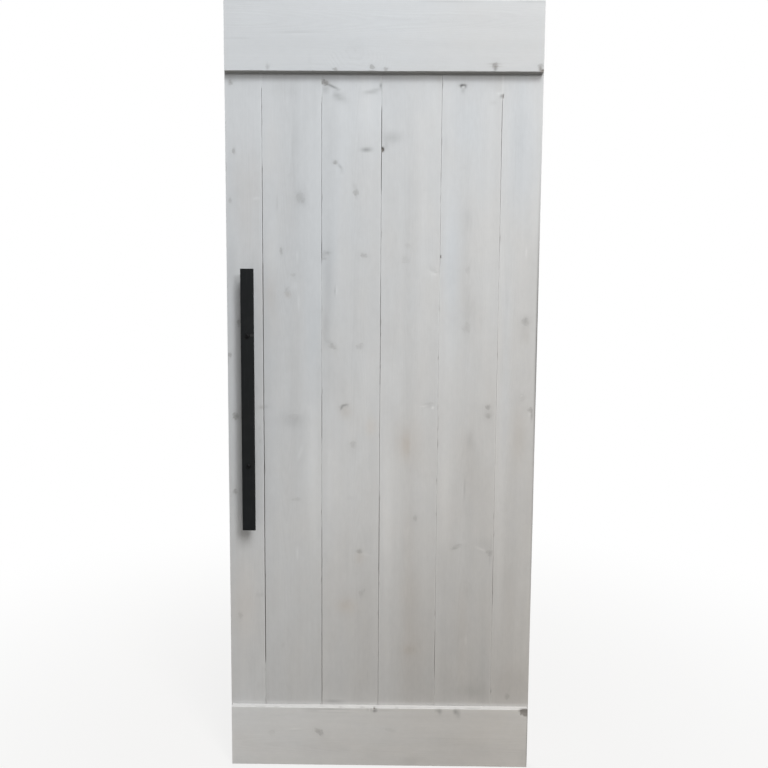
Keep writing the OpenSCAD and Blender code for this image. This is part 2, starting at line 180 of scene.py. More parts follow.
MARKS = {
    "plank_1": [
        Mark(-398, 1650, 14, 75, 0, 0.05),
        Mark(-362, 1650, 26, 110, 0, 0.045),
        Mark(-375, 1620, 50, 220, 0, 0, 0.02),
        Mark(-348, 1618, 10, 4, 5, -0.10),
        Mark(-418, 1430, 12, 60, 0, 0.05),
        Mark(-340, 1250, 10, 260, 0, 0.03, 0.01),
        Mark(-338, 1043, 9, 3, 0, 0.25, 0.01),
        Mark(-343, 985, 3, 5, 0, 0.14),
        Mark(-342, 945, 3, 5, 0, 0.12),
        Mark(-344, 498, 12, 3, 0, 0.14),
        Mark(-390, 480, 40, 140, 0, 0, 0.03),
        Mark(-385, 350, 50, 320, 0, -0.06),
        Mark(-372, 306, 14, 60, 0, 0.03),
        Mark(-380, 120, 40, 150, 0, -0.03),
    ],
    "plank_2": [
        Mark(-265, 1905, 50, 18, 0, 0.04),
        Mark(-253, 1775, 3, 62, -3, -0.07),
        Mark(-242, 1760, 15, 130, 0, 0.05),
        Mark(-300, 1750, 60, 200, 0, 0, 0.01),
        Mark(-246, 1720, 2, 60, 4, 0.05),
        Mark(-236, 1633, 12, 4, -20, 0.05),
        Mark(-227, 1622, 20, 26, 0, 0.07),
        Mark(-184, 1620, 17, 240, 0, -0.06),
        Mark(-220, 1608, 8, 10, 30, 0.08),
        Mark(-290, 1604, 2, 22, 0, 0.10),
        Mark(-262, 1560, 20, 130, 0, 0.03),
        Mark(-195, 1500, 24, 420, 0, 0, -0.03),
        Mark(-305, 1490, 24, 80, 0, -0.055),
        Mark(-235, 1461, 3, 14, 0, -0.10),
        Mark(-242, 1380, 10, 12, 0, -0.07),
        Mark(-262, 1375, 6, 3, 30, 0.08),
        Mark(-312, 1360, 16, 40, 0, 0.03, 0.01),
        Mark(-262, 1356, 9, 8, 0, 0.04, 0.02),
        Mark(-232, 1337, 3, 20, 0, -0.12),
        Mark(-308, 1330, 28, 110, 0, 0.03, 0.01),
        Mark(-248, 1160, 20, 240, 0, 0.03),
        Mark(-325, 1042, 6, 3, 0, 0.16),
        Mark(-244, 1026, 12, 2, 0, -0.08),
        Mark(-244, 1018, 9, 4, 0, -0.09),
        Mark(-244, 1012, 12, 2, 0, -0.06),
        Mark(-247, 1006, 34, 20, 0, 0.13),
        Mark(-229, 913, 4, 22, -20, -0.08),
        Mark(-192, 880, 20, 200, 0, -0.09),
        Mark(-248, 870, 40, 150, 0, 0.035),
        Mark(-238, 624, 3, 16, 0, -0.12),
        Mark(-230, 470, 18, 150, 0, 0.03),
        Mark(-245, 430, 80, 220, 0, -0.03),
        Mark(-300, 150, 60, 120, 0, 0.025),
    ],
    "plank_3": [
        Mark(-8, 1919, 3, 6, 0, 0.5),
        Mark(-140, 1917, 20, 2.8, -24, 0.55),
        Mark(-157, 1908, 8, 10, -50, 0.18),
        Mark(-31, 1904, 24, 5, 12, 0.28),
        Mark(-142, 1898, 6, 5, 0, -0.16),
        Mark(-122, 1890, 22, 9, -25, 0.27),
        Mark(-45, 1850, 35, 80, 0, -0.06),
        Mark(-36, 1762, 18, 3, 4, 0.16),
        Mark(-140, 1760, 25, 160, 0, 0.03),
        Mark(-47, 1749, 16, 3, 5, 0.45),
        Mark(-117, 1704, 9, 3, -50, 0.28),
        Mark(-113, 1693, 5, 2.5, 0, 0.25),
        Mark(-148, 1680, 22, 260, 0, 0, -0.04),
        Mark(-78, 1652, 5, 12, 20, 0.10),
        Mark(-73, 1624, 3, 9, 15, 0.10),
        Mark(-150, 1472, 9, 3, 0, 0.16),
        Mark(-161, 1456, 6, 3, 0, 0.2),
        Mark(-150, 1390, 13, 110, 0, 0.11),
        Mark(-131, 1368, 2.5, 11, 0, 0.22),
        Mark(-127, 1368, 2.5, 11, 0, -0.16),
        Mark(-158, 1265, 10, 45, 0, 0.12),
        Mark(-146, 1226, 16, 5, -25, 0.08),
        Mark(-36, 1140, 24, 110, 0, -0.07),
        Mark(-135, 1130, 34, 60, 0, 0.045),
        Mark(-103, 1050, 9, 2.6, 12, 0.42),
        Mark(-112, 1043, 3, 7, -25, 0.42),
        Mark(-101, 1040, 8, 5, 0, -0.04),
        Mark(-101, 1030, 17, 18, 0, 0.07, 0.02),
        Mark(-108, 1000, 14, 300, 0, 0.03),
        Mark(-30, 990, 16, 26, 0, 0, 0.03),
        Mark(-82, 925, 12, 22, 0, 0.05),
        Mark(-60, 860, 70, 240, 0, -0.05),
        Mark(-146, 850, 12, 230, 0, -0.05),
        Mark(-135, 820, 16, 60, 0, -0.04),
        Mark(-96, 700, 12, 170, 0, 0.035),
        Mark(-42, 621, 16, 5, -15, -0.07),
        Mark(-61, 612, 13, 20, 0, 0.04, 0.02),
        Mark(-100, 480, 60, 130, 0, 0, 0.01),
        Mark(-100, 470, 26, 20, 0, 0.03, 0.03),
        Mark(-40, 420, 20, 200, 0, 0.03),
        Mark(-118, 190, 20, 5, 0, -0.06),
        Mark(-135, 182, 26, 5, 0, 0.26),
    ],
    "plank_4": [
        Mark(146, 1850, 12, 60, 0, -0.05),
        Mark(24, 1782, 28, 14, 4, 0.17),
        Mark(8, 1760, 6, 12, 0, 0.12),
        Mark(-1, 1750, 3.5, 6, 0, 0.7),
        Mark(70, 1600, 18, 170, 0, 0.03),
        Mark(162, 1462, 3, 4, 0, 0.6),
        Mark(132, 1432, 2, 9, 15, 0.05),
        Mark(150, 1430, 3, 12, 10, -0.08),
        Mark(138, 1420, 14, 3, -25, -0.10),
        Mark(146, 1420, 12, 2, 10, 0.07),
        Mark(140, 1415, 12, 5, -10, -0.08),
        Mark(70, 1300, 18, 300, 0, 0.022),
        Mark(20, 1130, 25, 60, 0, -0.065),
        Mark(134, 1057, 12, 2, 5, 0.10),
        Mark(133, 1050, 8, 2, 0, 0.07),
        Mark(122, 1049, 11, 1.6, 5, -0.2),
        Mark(143, 1045, 3, 4, 0, -0.25),
        Mark(46, 950, 14, 60, 0, 0.045, 0.01),
        Mark(80, 945, 40, 75, 0, 0.035, 0.015),
        Mark(66, 940, 11, 36, 0, 0.09, 0.03),
        Mark(76, 936, 5, 32, 0, 0.06, 0.02),
        Mark(18, 760, 22, 200, 0, -0.12),
        Mark(78, 560, 20, 300, 0, 0.03, 0.01),
        Mark(18, 400, 20, 260, 0, -0.045),
        Mark(98, 380, 45, 220, 0, 0.05, 0.012),
        Mark(86, 340, 16, 12, 0, 0.04, 0.04),
        Mark(120, 230, 30, 60, 0, 0.03),
    ],
    "plank_5": [
        Mark(300, 1925, 22, 18, 0, 0.05),
        Mark(214, 1921, 8, 3, 0, 0.75),
        Mark(209, 1918, 3, 4, 0, 0.5),
        Mark(221, 1917, 3, 4, 0, 0.4),
        Mark(215, 1916.5, 4, 2, 0, -0.5),
        Mark(214, 1906, 5, 6, 0, 0.18),
        Mark(312, 1898, 8, 4, -10, -0.14),
        Mark(318, 1893, 5, 3, -30, 0.45),
        Mark(296, 1875, 9, 6, 0, 0.08),
        Mark(240, 1800, 60, 160, 0, 0, -0.02),
        Mark(171, 1765, 6, 25, 0, 0.05),
        Mark(227, 1708, 14, 4, 10, 0.06),
        Mark(234, 1563, 13, 32, 0, 0.07),
        Mark(185, 1560, 18, 160, 0, -0.04),
        Mark(248, 1558, 2.5, 26, 0, -0.06),
        Mark(228, 1550, 14, 100, 0, 0.04),
        Mark(190, 1420, 26, 220, 0, -0.01, -0.035),
        Mark(228, 1350, 14, 110, 0, 0.05),
        Mark(180, 1350, 18, 30, 0, -0.04),
        Mark(242, 1320, 18, 60, 0, 0.08),
        Mark(186, 1190, 20, 110, 0, -0.07),
        Mark(300, 1030, 17, 24, 0, 0.08),
        Mark(249, 954, 11, 26, 0, 0.10),
        Mark(250, 900, 20, 460, 0, 0.025),
        Mark(252, 860, 40, 110, 0, 0.06, 0.01),
        Mark(182, 820, 18, 190, 0, -0.11),
        Mark(232, 818, 2.5, 26, 0, -0.08),
        Mark(236, 816, 2.5, 24, 0, 0.18),
        Mark(236, 660, 14, 5, 20, -0.05),
        Mark(298, 655, 24, 20, 0, 0.07),
        Mark(222, 652, 9, 2.5, 15, 0.10),
        Mark(210, 641, 8, 3, 15, 0.22),
        Mark(286, 640, 16, 3, -20, -0.14),
        Mark(311, 612, 2, 20, 0, 0.10),
        Mark(238, 400, 16, 150, 0, 0.035, 0.01),
        Mark(247, 372, 2.5, 16, 0, -0.10),
        Mark(262, 222, 46, 26, 0, 0.05),
        Mark(262, 214, 46, 16, 0, 0.06),
        Mark(262, 180, 50, 6, 0, -0.05),
    ],
    "plank_6": [
        Mark(345, 1800, 18, 120, 0, -0.02),
        Mark(370, 1790, 25, 100, 0, 0.045),
        Mark(375, 1780, 50, 220, 0, 0, -0.035),
        Mark(334, 1780, 11, 130, 0, -0.05),
        Mark(395, 1477, 2.5, 14, 0, -0.12),
        Mark(332, 1450, 10, 160, 0, -0.04),
        Mark(416, 1428, 16, 80, 0, 0.05),
        Mark(399, 1290, 17, 15, 0, 0.07),
        Mark(388, 1255, 12, 30, 0, 0.04),
        # Painted shadow: a dark line down the leaf's right edge.
        Mark(432, 1250, 4.5, 330, 0, 0.95),
        Mark(401, 1248, 12, 24, 0, 0.07, 0.01),
        Mark(345, 1150, 14, 300, 0, 0, -0.02),
        Mark(391, 1080, 3, 2, 0, -0.15),
        Mark(414, 1030, 4, 8, 0, -0.08),
        Mark(421, 1024, 3, 12, 0, 0.3),
        Mark(386, 965, 20, 80, 0, 0.06, 0.02),
        Mark(372, 900, 18, 420, 0, 0.035),
        Mark(414, 760, 20, 60, 0, 0.04),
        Mark(335, 740, 12, 380, 0, -0.08),
        # Painted shadow: more of the dark line down the leaf's right edge.
        Mark(432, 700, 3, 250, 0, 0.5),
        Mark(365, 550, 16, 60, 0, 0.035),
        Mark(385, 240, 60, 60, 0, 0.06, 0.015),
    ],
    "top_rail": [
        Mark(-350, 2131, 60, 2, 0, 0.10),
        Mark(180, 2129, 80, 2, 0, 0.14),
        Mark(390, 2129, 40, 2, 0, 0.12),
        Mark(-200, 2080, 120, 40, 0, 0.012),
        Mark(60, 2060, 140, 30, 0, -0.012),
        Mark(-231, 2050, 55, 2.5, 1, 0.10),
        Mark(-222, 2044, 60, 2, 1, -0.05),
        Mark(-389, 2034, 32, 2, 0, 0.10),
        Mark(-200, 1975, 4, 20, 0, 0.04),
        Mark(296, 1970, 16, 1.6, 0, 0.25, 0.02),
        Mark(-312, 1965, 2, 9, 0, 0.08),
        Mark(300, 1963, 15, 1.4, 0, 0.2, 0.02),
        Mark(417, 1957, 4, 8, 0, 0.45, 0.02),
        Mark(-311, 1957, 4, 6, 0, 0.14),
        Mark(297, 1956, 4, 6, 0, 0.35),
    ],
    "bottom_rail": [
        Mark(-24, 170, 1.5, 8, 0, 0.2),
        Mark(-34, 170, 1.5, 6, 0, 0.14),
        Mark(-140, 169, 45, 2, 0, 0.22),
        Mark(165, 169, 3, 5, 0, 0.2),
        Mark(10, 167, 20, 3, 0, 0.08),
        Mark(172, 167, 2.5, 9, 0, 0.55),
        Mark(-192, 166, 20, 6, 0, 0.10),
        Mark(219, 166, 2, 8, 0, 0.45),
        Mark(233, 166, 2, 5, 0, 0.2),
        Mark(179, 165, 2, 12, 0, 0.45),
        Mark(-15, 165, 4, 4, -40, 0.6),
        Mark(-125, 164, 40, 1.5, 0, -0.10),
        Mark(225, 162, 2.5, 13, 0, 0.5),
        Mark(-125, 160, 46, 2, 0, 0.10),
        Mark(-245, 109, 15, 2.5, 5, -0.12),
        Mark(-240, 104, 16, 2.5, 5, 0.07),
        Mark(180, 84, 150, 2, 0, 0.05),
        # Painted shadow: the dark line down the leaf's right edge, on the rail's end.
        Mark(427, 80, 2, 90, 0, 0.6),
        Mark(250, 60, 90, 26, 0, 0.03),
        Mark(-150, 46, 60, 22, 0, 0.06),
        Mark(-20, 30, 26, 14, 0, 0.06),
        Mark(415, 30, 14, 24, 0, 0.08),
        Mark(90, 16, 34, 12, 15, 0.08),
    ],
}

CHIPS = {
    "plank_4": [Chip(-3, 1750, 5, 8, 5)],
    "plank_5": [Chip(159.5, 1462, 3, 5, 3)],
    "plank_6": [Chip(322.5, 1892, 3, 7, 3)],
    "top_rail": [Chip(424, 1952, 7, 5, 3)],
    "bottom_rail": [Chip(420, 168, 19, 16, 4.5), Chip(-15, 173, 4, 4, 3)],
}

# Where wash has filled a joint, by the number of the board to its left: from and to which height
# in mm, and how full it is from 0 to 1. The fill lies a little below the face, and fades in and
# out over twice FILL_FADES.
FILLED = {
    1: [(1908, 1960, 1), (1700, 1908, 0.6), (1440, 1700, 0.3), (174, 300, 0.7)],
    2: [(1872, 1960, 1), (1500, 1872, 0.3), (1080, 1450, 0.65), (700, 950, 0.5)],
    3: [(1860, 1960, 0.6), (1400, 1640, 0.5), (1120, 1400, 0.25), (780, 1110, 0.45), (174, 560, 0.4)],
    4: [(1440, 1660, 0.4), (1050, 1440, 0.7), (395, 1050, 0.55), (174, 270, 0.6)],
    5: [(1885, 1960, 1), (1480, 1600, 0.4), (620, 1480, 0.45), (174, 470, 0.6)],
}
FILL_BELOW = 0.06
FILL_FADES = 9

# How much further each joint has opened than it was made, in mm: 0 and 6 are the leaf's own edges.
SLACK = {0: 0.1, 1: 0.75, 2: 0.45, 3: 0.35, 4: 0.1, 5: 0.1, 6: 0.1}

# Broad marks that run over the whole leaf, board after board: painted shade at the foot, where the
# light falls off towards the floor, darker at the top right and down the right edge, and paler beside the
# pull and above it.
BROAD_TONE_AND_PAINTED_SHADE = [
    # Painted shade: the leaf darker towards its foot.
    Mark(250, 80, 390, 560, 0, 0.20),
    Mark(-220, 800, 260, 300, 0, -0.08),
    Mark(350, 2000, 450, 500, 0, 0.10),
    Mark(-400, 1850, 90, 250, 0, -0.05),
    Mark(400, 1150, 80, 500, 0, 0.05),
]

# ---- Fields over the wood: each works on whole arrays of points ----


def smooth_step(low, high, value):
    """0 below low, 1 above high and 3t^2 - 2t^3 between them; low may be the larger of the two."""
    t = np.clip((value - low) / (high - low), 0, 1)
    return t * t * (3 - 2 * t)


def soft_min(a, b, width):
    """The smaller of two fields, rounded off where they cross: -w log(e^(-a/w) + e^(-b/w))."""
    return -width * np.logaddexp(-a / width, -b / width)


# How many random values the noises go through before they repeat.
LINE_VALUES, LATTICE = 512, 64


def wander(place, step, seed):
    """Smooth noise from -1 to 1 along a line: a random value every step, eased from each to the
    next."""
    values = np.random.default_rng(seed).uniform(-1, 1, LINE_VALUES)
    cell = np.floor(place / step).astype(int)
    ease = smooth_step(0, 1, place / step - cell)
    return values[cell % LINE_VALUES] * (1 - ease) + values[(cell + 1) % LINE_VALUES] * ease


def clouds(a, b, step_a, step_b, seed):
    """Smooth noise from -1 to 1 over a surface: random values on a lattice, eased across each cell."""
    values = np.random.default_rng(seed).uniform(-1, 1, (LATTICE, LATTICE))
    cell_a, cell_b = np.floor(a / step_a).astype(int), np.floor(b / step_b).astype(int)
    ease_a, ease_b = smooth_step(0, 1, a / step_a - cell_a), smooth_step(0, 1, b / step_b - cell_b)

    def eased_along_a(column):
        before = values[cell_a % LATTICE, column % LATTICE]
        after = values[(cell_a + 1) % LATTICE, column % LATTICE]
        return before * (1 - ease_a) + after * ease_a

    return eased_along_a(cell_b) * (1 - ease_b) + eased_along_a(cell_b + 1) * ease_b


def reach_of(spot, x, z):
    """Distance from a knot, mark or chip's middle in its own half sizes: 1 on its rim, an ellipse."""
    turn = math.radians(getattr(spot, "turn", 0))
    cosine, sine = math.cos(turn), math.sin(turn)
    right, up = x - spot.x, z - spot.z
    return np.hypot((right * cosine + up * sine) / spot.wide, (up * cosine - right * sine) / spot.tall)


def uneven(reach, spot, x, z):
    """The same distance with the rim wavy, by 3 and 7 waves round the middle."""
    around = np.arctan2(z - spot.z, x - spot.x)
    return reach * (1 + 0.10 * np.sin(3 * around + spot.x) + 0.05 * np.sin(7 * around + spot.z))


def trunk_rings(stick, across, depth, along):
    """Rings counted from the pith: the distance from a slightly wandering pith line behind the face,
    over the width of one ring, plus the rings gained up the trunk's taper and a little wander."""
    grain = stick.grain
    pith = stick.middle + grain.middle + 7 * wander(along, 420, stick.seed)
    behind = grain.deep + 6 * wander(along, 300, stick.seed + 1)
    rings = np.hypot(across - pith, behind - depth) / grain.ring + grain.taper * along * MM
    return rings + 0.5 * clouds(across, along, 45, 190, stick.seed + 2)


def growth_rings(stick, across, depth, along):
    """The trunk's rings, and round each knot the branch's own rings, which close up with the square
    of the distance. A soft minimum joins them, so the grain parts and flows round the knot."""
    rings = trunk_rings(stick, across, depth, along)
    for knot in stick.knots:
        x, z = stick.to_part(across, along)
        at = stick.to_stick(knot.x, knot.z)
        here = trunk_rings(stick, np.array(at[0]), np.array(0.0), np.array(at[1]))
        reach = uneven(reach_of(knot, x, z), knot, x, z)
        rings = soft_min(rings, here - 1.6 + 0.7 * reach + 0.35 * reach**2, 0.3)
    return rings


# A reach that stands for no knot near.
FAR = 9.0


def nearest_knot(stick, x, z):
    """Reach of the knot that is nearest in its own half sizes, and how dark that knot is."""
    nearest, dark = np.full_like(x, FAR), np.zeros_like(x)
    for knot in stick.knots:
        reach = uneven(reach_of(knot, x, z), knot, x, z)
        dark = np.where(reach < nearest, knot.dark, dark)
        nearest = np.minimum(nearest, reach)
    return nearest, dark


def stains(marks, x, z, part):
    """The sum of the marks' dark or warm values, each fading as a bell from its middle."""
    total = np.zeros_like(x)
    for mark in marks:
        total += getattr(mark, part) * np.exp(-(reach_of(mark, x, z) ** 2))
    return total


def broken(stick, x, z):
    """Depth broken away at the chips: full inside half a chip's size and none at its jagged rim."""
    depth = np.zeros_like(x)
    for chip in stick.chips:
        jagged = reach_of(chip, x, z) * (1 + 0.22 * clouds(x, z, 3.1, 4.3, 71))
        depth = np.maximum(depth, chip.deep * smooth_step(1.05, 0.35, jagged))
    return depth


def late_wood(rings):
    """The dark, hard part of each ring: rises slowly over the ring and ends sharply at its edge."""
    phase = rings - np.floor(rings)
    return smooth_step(0.3, 0.86, phase) * smooth_step(1.0, 0.93, phase)


# ---- Sticks: a board or a rail, with its own coordinates across, through and along it ----


class Stick:
    """A board stands: across is X and along is Z. A rail lies, turned a quarter about Y: along is X
    and across is down. Depth is Y in both; the rings take it from the front face instead.
    Everything is in millimetres."""

    def __init__(self, node, tongue=0, groove=0):
        low, high = (np.array(corner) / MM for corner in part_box(node))
        self.node, self.lies = node, node.endswith("_rail")
        self.front, self.thick = low[1], high[1] - low[1]
        if self.lies:
            self.low, self.high, self.start, self.end = -high[2], -low[2], low[0], high[0]
        else:
            self.low, self.high, self.start, self.end = low[0], high[0] - tongue, low[2], high[2]
        self.tongue, self.groove = tongue, groove
        self.middle = (self.low + self.high) / 2
        self.grain, self.knots, self.marks = GRAINS[node], KNOTS[node], MARKS[node]
        self.chips = CHIPS.get(node, [])
        self.seed = 10 * (sorted(GRAINS).index(node) + 1)

    def to_part(self, across, along):
        """X and Z in the part's frame of a place on the stick."""
        return (along, -across) if self.lies else (across, along)

    def to_stick(self, x, z):
        """Across and along the stick, of a place in the part's frame."""
        return (-z, x) if self.lies else (x, z)


# The joints and eased edges, as the boards and rails were made.
TONGUE, GROOVE_DEEP = 8.0, 8.5
TONGUE_THICK, GROOVE_THICK = 6.0, 6.4
BOARD_EASE, RAIL_EASE = 1.0, 1.5

PLANKS = [f"plank_{i}" for i in range(1, 7)]
sticks = [
    Stick(name, TONGUE if name != PLANKS[-1] else 0, GROOVE_DEEP if name != PLANKS[0] else 0)
    for name in PLANKS
]
sticks += [Stick("top_rail"), Stick("bottom_rail")]


def graded(low, high, coarse, fine, places, reach):
    """Positions from low to high, a fine step apart within reach of each place and a coarse step
    elsewhere: the running sum of 1 / step is cut into equal parts."""
    probe = np.linspace(low, high, 6000)
    near = np.full_like(probe, FAR)
    for place in places:
        near = np.minimum(near, np.abs(probe - place) / reach)
    step = fine + (coarse - fine) * smooth_step(0.9, 1.6, near)
    sums = np.concatenate([[0], np.cumsum(np.diff(probe) / step[1:])])
    return np.interp(np.linspace(0, sums[-1], math.ceil(sums[-1]) + 1), sums, probe)


SCREW_HEAD = 8.2


def screw_middles():
    """X and Z of each rail screw: the vertices within one head's width of the first vertex left
    are one screw, and the middle of their box is its axis."""
    middles = []
    for name in ("top_rail_screws", "bottom_rail_screws"):
        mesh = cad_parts[name].data
        points = np.empty(len(mesh.vertices) * 3)
        mesh.vertices.foreach_get("co", points)
        left = points.reshape(-1, 3)[:, [0, 2]] / MM
        while len(left):
            own = np.hypot(*(left - left[0]).T) < SCREW_HEAD + 1
            middles.append((left[own].min(0) + left[own].max(0)) / 2)
            left = left[~own]
    return middles


def standoff_middle(which):
    low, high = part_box(f"{which}_standoff")
    return (low + high) / 2 / MM


screws = screw_middles()
bolts = [standoff_middle(which) for which in ("upper", "lower")]


# ---- Outlines: closed loops round a stick, across and depth, anticlockwise seen from its far end ----


def quarter(middle, radius, first):
    """Points along a quarter circle, from the angle first in degrees to first + 90."""
    turns = np.radians(first + np.linspace(0, 90, 6))
    return np.stack([middle[0] + radius * np.cos(turns), middle[1] + radius * np.sin(turns)], 1)


def straight(start, end, step):
    """Points between start and end, less both ends, about a step apart."""
    start, end = np.array(start, float), np.array(end, float)
    count = max(int(np.hypot(*(end - start)) / step), 1)
    return start + (end - start) * (np.arange(1, count) / count)[:, None]


def row(places, depth):
    """Points at the given places across, at one depth."""
    return np.stack([places, np.full(len(places), depth)], 1)


# How far apart the points of a stick's mesh lie, in mm: across the front and the back, down the
# sides, and along it at the coarsest and the finest.
FRONT_CELL, BACK_CELL, SIDE_CELL = 2.7, 9.0, 2.5
LONG_CELL, SHORT_CELL = 9.0, 2.6


def outline(stick):
    """The section of a stick: a rectangle with its corners eased, a tongue on the right side and
    a groove in the left where it has them, and points close enough together to carry the relief."""
    low, high, front, back = stick.low, stick.high, stick.front, stick.front + stick.thick
    ease = RAIL_EASE if stick.lies else BOARD_EASE
    middle = stick.thick / 2 + front
    spots = [stick.to_stick(knot.x, knot.z)[0] for knot in stick.knots if knot.dark > 0.3]
    start, end = low + ease + 0.4, high - ease - 0.4
    face = graded(start, end, FRONT_CELL, FRONT_CELL / 1.6, spots, 7)
    heads = [] if stick.lies else [x for x, z in screws if low < x < high]
    rear = graded(start, end, BACK_CELL, 1.3, heads, SCREW_HEAD / 2 + 0.9)
    right = [straight((high, front + ease), (high, back - ease), SIDE_CELL)]
    if stick.tongue:
        y0, y1, tip = middle - TONGUE_THICK / 2, middle + TONGUE_THICK / 2, high + stick.tongue
        right = [
            straight((high, front + ease), (high, y0), SIDE_CELL),
            np.array([(high, y0), (tip, y0), (tip, y1), (high, y1)]),
            straight((high, y1), (high, back - ease), SIDE_CELL),
        ]
    left = [straight((low, back - ease), (low, front + ease), SIDE_CELL)]
    if stick.groove:
        y0, y1, floor = middle - GROOVE_THICK / 2, middle + GROOVE_THICK / 2, low + stick.groove
        left = [
            straight((low, back - ease), (low, y1), SIDE_CELL),
            np.array([(low, y1), (floor, y1), (floor, y0), (low, y0)]),
            straight((low, y0), (low, front + ease), SIDE_CELL),
        ]
    loop = [
        quarter((low + ease, front + ease), ease, 180),
        row(face, front),
        quarter((high - ease, front + ease), ease, 270),
        *right,
        quarter((high - ease, back - ease), ease, 0),
        row(rear[::-1], back),
        quarter((low + ease, back - ease), ease, 90),
        *left,
    ]
    return np.concatenate(loop)


# ---- Relief of a stick's surface ----


def edge_wander(along, side):
    """How far one long side has moved outwards along the stick, in mm: slow waves that open and
    close the joints."""
    seed = 20000 + round(7 * side)
    return 0.14 * wander(along, 150, seed) + 0.06 * wander(along, 23, seed + 1)


def fill_of(stick, across, along):
    """How full of wash the nearer joint is beside each point, and half that joint's width."""
    number = PLANKS.index(stick.node)
    full, half_gap = np.zeros_like(along), np.zeros_like(along)
    for joint, nearer in ((number, across < stick.middle), (number + 1, across >= stick.middle)):
        if not 0 < joint < len(PLANKS):
            continue
        half_gap = np.where(nearer, (sticks[joint].low - sticks[joint - 1].high) / 2, half_gap)
        for start, end, share in FILLED[joint]:
            inside = smooth_step(start - FILL_FADES, start + FILL_FADES, along)
            inside = inside * smooth_step(end + FILL_FADES, end - FILL_FADES, along)
            ragged = np.minimum(share * (1.08 + 0.16 * wander(along, 13, 300 + joint)), 1)
            full = np.maximum(full, np.where(nearer, inside * ragged, 0))
    return full, half_gap


# The mean depth of the face's unevenness, and the radii round a standoff's axis within which the
# wood is pressed flat and beyond which it is as it was.
FACE_SUNK = 0.22
PRESSED, UNPRESSED = 11, 19


def relief(stick, across, depth, along):
    """Depth of the front face below its plane: the board's cup, the soft early wood between the
    rings, a ring sunk round each knot with a dished heart, and slow unevenness. It fades out under
    the standoffs, which press the wood flat."""
    x, z = stick.to_part(across, along)
    side = (across - stick.middle) / (stick.high - stick.low) * 2
    cup = stick.grain.cup * (side**2 if stick.grain.cup > 0 else side**2 - 1)
    rings = growth_rings(stick, across, depth - stick.front, along)
    steep = np.abs(np.gradient(rings, axis=1) / np.maximum(np.abs(np.gradient(across, axis=1)), 0.2))
    wide = smooth_step(0.30, 0.12, steep)
    sunk = 0.10 * wide * (1 - late_wood(rings))
    for knot in stick.knots:
        reach = uneven(reach_of(knot, x, z), knot, x, z)
        rim = 0.10 * np.exp(-(((reach - 1.0) / 0.35) ** 2))
        heart = 0.25 * np.exp(-((reach / 0.6) ** 2))
        sunk += min(2.2 * knot.dark, 1) * (rim + heart)
    slow = 0.10 * clouds(across, along, 31, 260, stick.seed + 4)
    slow += 0.05 * clouds(across, along, 9, 70, stick.seed + 5)
    free = np.ones_like(x)
    for bolt in bolts:
        free *= smooth_step(PRESSED, UNPRESSED, np.hypot(x - bolt[0], z - bolt[2]))
    return free * np.maximum(FACE_SUNK + cup + sunk + slow, 0)


def in_joint(stick, across, inside):
    """1 on the tongue and in the groove, which the wash never reached, and 0 on the faces."""
    joined = np.where(across < stick.middle, stick.groove > 0, stick.tongue > 0)
    lip, bare = 1.2, 3.5
    return joined * smooth_step(lip, bare, inside) * smooth_step(lip, bare, stick.thick - inside)


NICKS_A_SIDE = 9


def nicks(stick, across, along):
    """Depth lost along the two long front edges to handling: scattered small dents, each a bell."""
    random = np.random.default_rng(stick.seed + 6)
    depth = np.zeros_like(across)
    for side in (stick.low, stick.high):
        for place in random.uniform(stick.start + 60, stick.end - 60, NICKS_A_SIDE):
            wide, tall = random.uniform(0.8, 1.8), random.uniform(3, 9)
            deep = random.uniform(0.4, 1.2)
            depth += deep * np.exp(-(((across - side) / wide) ** 2) - ((along - place) / tall) ** 2)
    return depth


DIMPLE_DEEP = 0.6


def screw_dimples(across, along):
    """Depth of the countersinks in the back of a board, a flat disc a little wider than each head."""
    depth = np.zeros_like(across)
    for x, z in screws:
        away = np.hypot(across - x, along - z) - SCREW_HEAD / 2
        depth = np.maximum(depth, smooth_step(0.9, 0.2, away))
    return DIMPLE_DEEP * depth


def stick_surface(stick):
    """The stick's skin as a grid: its outline carried along its length, with the sides moved by
    edge_wander and the joint's slack or closed up where wash fills the joint, the front face
    pushed in by the relief, nicks and chips, and the back by slow unevenness and the screws'
    countersinks. Returns across, depth and along in mm."""
    loop = outline(stick)
    spots = [stick.to_stick(spot.x, spot.z)[1] for spot in (*stick.knots, *stick.chips)]
    if not stick.lies:
        spots += [z for x, z in screws if stick.low < x < stick.high]
    along = graded(stick.start, stick.end, LONG_CELL, SHORT_CELL, spots, 15)[:, None]
    across, depth = (np.broadcast_to(loop[:, k], (len(along), len(loop))).copy() for k in (0, 1))
    along = np.broadcast_to(along, across.shape).copy()
    share = (across - stick.low) / (stick.high - stick.low)
    outer = np.minimum(along - stick.start, stick.end - along)
    loose = smooth_step(0, 6, outer)
    moved = np.where(share < 0.5, edge_wander(along, stick.low), edge_wander(along, stick.high))
    if not stick.lies:
        full, half_gap = fill_of(stick, across, along)
        number = PLANKS.index(stick.node)
        slack = np.where(share < 0.5, SLACK[number], SLACK[number + 1])
        moved = (moved - slack / 2) * (1 - full) + half_gap * full
        # Where wash fills the joint it fills up the eased corners too, nearly flush with the face.
        corner = (depth < stick.front + BOARD_EASE + 0.01) & (np.abs(share - 0.5) > 0.47)
        depth -= corner * full * np.maximum(depth - stick.front - FILL_BELOW, 0)
    across += loose * moved * (2 * share - 1)
    skin, core = 0.6, 2.0
    in_front = smooth_step(core, skin, depth - stick.front)
    behind = smooth_step(core, skin, stick.front + stick.thick - depth)
    depth += in_front * (relief(stick, across, depth, along) + nicks(stick, across, along))
    x, z = stick.to_part(across, along)
    depth = np.maximum(depth, stick.front + broken(stick, x, z))
    if not stick.lies:
        uneven_back = 0.12 + 0.12 * clouds(across, along, 28, 240, stick.seed + 8)
        depth -= behind * (uneven_back + screw_dimples(across, along))
    return across, depth, along


SHARP_FROM = math.radians(38)


